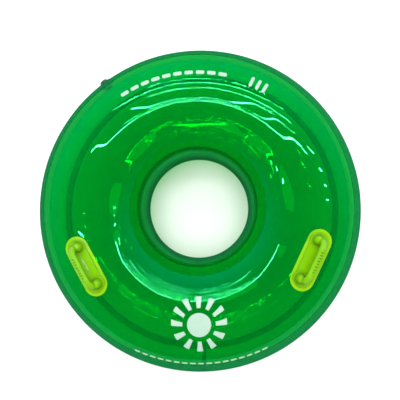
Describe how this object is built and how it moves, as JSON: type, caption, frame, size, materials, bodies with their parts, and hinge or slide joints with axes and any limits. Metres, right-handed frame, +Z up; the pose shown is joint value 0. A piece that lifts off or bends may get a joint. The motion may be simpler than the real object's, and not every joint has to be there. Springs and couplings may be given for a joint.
{
  "type": "inflatable tube",
  "caption": "Inflatable single-rider water tube: a translucent ring of welded sheets with grab handles on top and a screw-in air valve on its side.",
  "frame": {"origin": "centre of the circle that the tube rests on, on the tube's axis", "axes": "+Z up along the tube's axis; -Y to the front, midway between the handles; +X to the right of someone who looks along +Y"},
  "size_m": [1.2196, 1.2198, 0.4684],
  "materials": {
    "tube_film": "glossy translucent green PVC film",
    "handle_vinyl": "glossy moulded soft PVC, lime",
    "valve_vinyl": "satin moulded soft PVC, dark green",
    "seal_rubber": "matte rubber"
  },
  "bodies": {
    "tube": {"upper_panel": "tube_film", "lower_panel": "tube_film", "inner_band": "tube_film", "inner_band_joint": "tube_film", "outer_band": "tube_film", "outer_band_joint": "tube_film", "valve_flange": "valve_vinyl", "handle_patch_left": "handle_vinyl", "handle_grip_left": "handle_vinyl", "handle_patch_right": "handle_vinyl", "handle_grip_right": "handle_vinyl"},
    "valve_ring": {"valve_strap": "valve_vinyl", "valve_seal": "seal_rubber"},
    "insert": {"valve_insert": "valve_vinyl", "valve_spider": "valve_vinyl"},
    "flap": {"valve_flap": "seal_rubber"},
    "cap": {"valve_cap": "valve_vinyl"}
  },
  "joints": [
    {"name": "insert_lift", "type": "slide", "parent": "tube", "child": "valve_ring", "axis": [-0.5709, 0.8154, 0.0958], "range_m": [0, 0.0101]},
    {"name": "insert_turn", "type": "hinge", "parent": "valve_ring", "child": "insert", "pos_m": [-0.34933, 0.4989, 0.22629], "axis": [-0.5709, 0.8154, 0.0958], "range_deg": [0, 900]},
    {"name": "flap_lift", "type": "slide", "parent": "insert", "child": "flap", "axis": [0.5709, -0.8154, -0.0958], "range_m": [0, 0.003], "stiffness_N_per_m": 20, "springref_m": -0.002},
    {"name": "cap_hinge", "type": "hinge", "parent": "valve_ring", "child": "cap", "pos_m": [-0.33734, 0.52188, 0.22744], "axis": [-0.055, 0.0785, -0.9954], "range_deg": [0, 150]}
  ],
  "couplings": [
    {"joint": "insert_lift", "follows": "insert_turn", "m_per_rad": 0.00063662}
  ]
}
